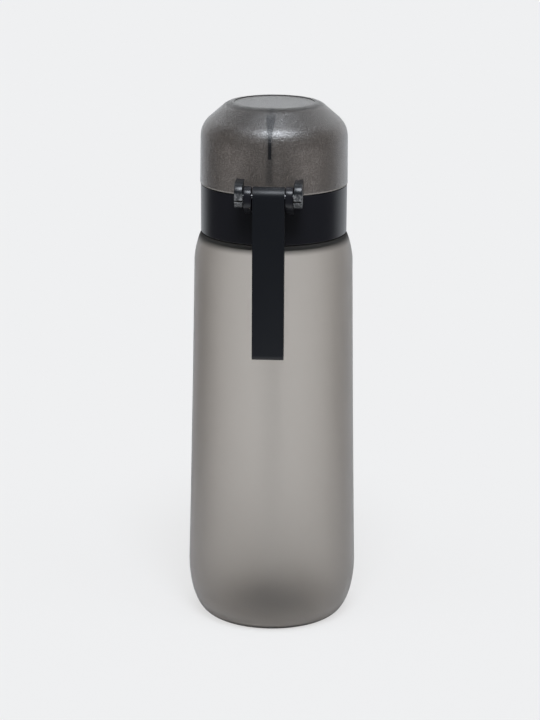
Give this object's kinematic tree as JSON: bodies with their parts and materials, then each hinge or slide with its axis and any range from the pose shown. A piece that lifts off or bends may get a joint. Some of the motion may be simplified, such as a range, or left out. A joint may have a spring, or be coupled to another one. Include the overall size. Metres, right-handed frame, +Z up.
{
  "type": "drinking bottle with flavour pod",
  "caption": "Frosted plastic drinking bottle with a screw collar, hinged dome lid, mouthpiece with a sliding flavour pod, straw and carry strap.",
  "frame": {"origin": "on the bottle's axis, on the flat panel in the middle of its base, 0.8 mm above the foot ring", "axes": "+Z up along the bottle's axis; -Y towards the lid's hinge and the carry strap; +Y towards the lid's latch"},
  "size_m": [0.0756, 0.0802, 0.2343],
  "materials": {
    "frosted_smoke": "frosted translucent, smoke grey",
    "clear_smoke": "clear, smoke tinted, glossy",
    "black_plastic": "fine satin moulding",
    "black_strap": "soft matt",
    "grey_silicone": "soft matt",
    "pale_silicone": "soft translucent matt",
    "pale_plastic": "satin",
    "clear_plastic": "clear",
    "pod_plastic": "satin",
    "felt": "pressed fibre",
    "steel": "ground"
  },
  "bodies": {
    "bottle": {"bottle_body": "frosted_smoke"},
    "seal": {"neck_seal": "grey_silicone"},
    "collar": {"screw_collar": "black_plastic", "head_seal": "grey_silicone", "drink_head": "pale_plastic", "air_valve": "grey_silicone", "mouthpiece": "pale_silicone", "straw_sleeve": "grey_silicone", "straw": "clear_plastic", "hinge_pin": "steel", "latch_pin": "steel"},
    "lid": {"dome_cover": "clear_smoke", "stopper_holder": "black_plastic", "lid_stopper": "grey_silicone"},
    "strap": {"carry_strap": "black_strap"},
    "pod": {"pod_case": "pod_plastic", "aroma_ring": "felt", "pod_cap": "pod_plastic"},
    "latch": {"latch_button": "black_plastic", "latch_spring": "steel"}
  },
  "joints": [
    {"name": "collar_lift", "type": "slide", "parent": "bottle", "child": "seal", "axis": [0, 0, 1], "range_m": [0, 0.005]},
    {"name": "collar_turn", "type": "hinge", "parent": "seal", "child": "collar", "pos_m": [0, 0, 0.1772], "axis": [0, 0, 1], "range_deg": [0, 450]},
    {"name": "lid_hinge", "type": "hinge", "parent": "collar", "child": "lid", "pos_m": [0, -0.038, 0.2], "axis": [1, 0, 0], "range_deg": [0, 110]},
    {"name": "strap_swing", "type": "hinge", "parent": "collar", "child": "strap", "pos_m": [0, -0.038, 0.2], "axis": [-1, 0, 0], "range_deg": [0, 65]},
    {"name": "pod_slide", "type": "slide", "parent": "collar", "child": "pod", "axis": [0, 0, 1], "range_m": [0, 0.004]},
    {"name": "latch_press", "type": "hinge", "parent": "collar", "child": "latch", "pos_m": [0, 0.0343, 0.1905], "axis": [-1, 0, 0], "range_deg": [0, 7], "stiffness_Nm_per_rad": 0.15, "springref_deg": -5.73}
  ],
  "couplings": [
    {"joint": "collar_turn", "follows": "collar_lift", "rad_per_m": 1570.8}
  ]
}
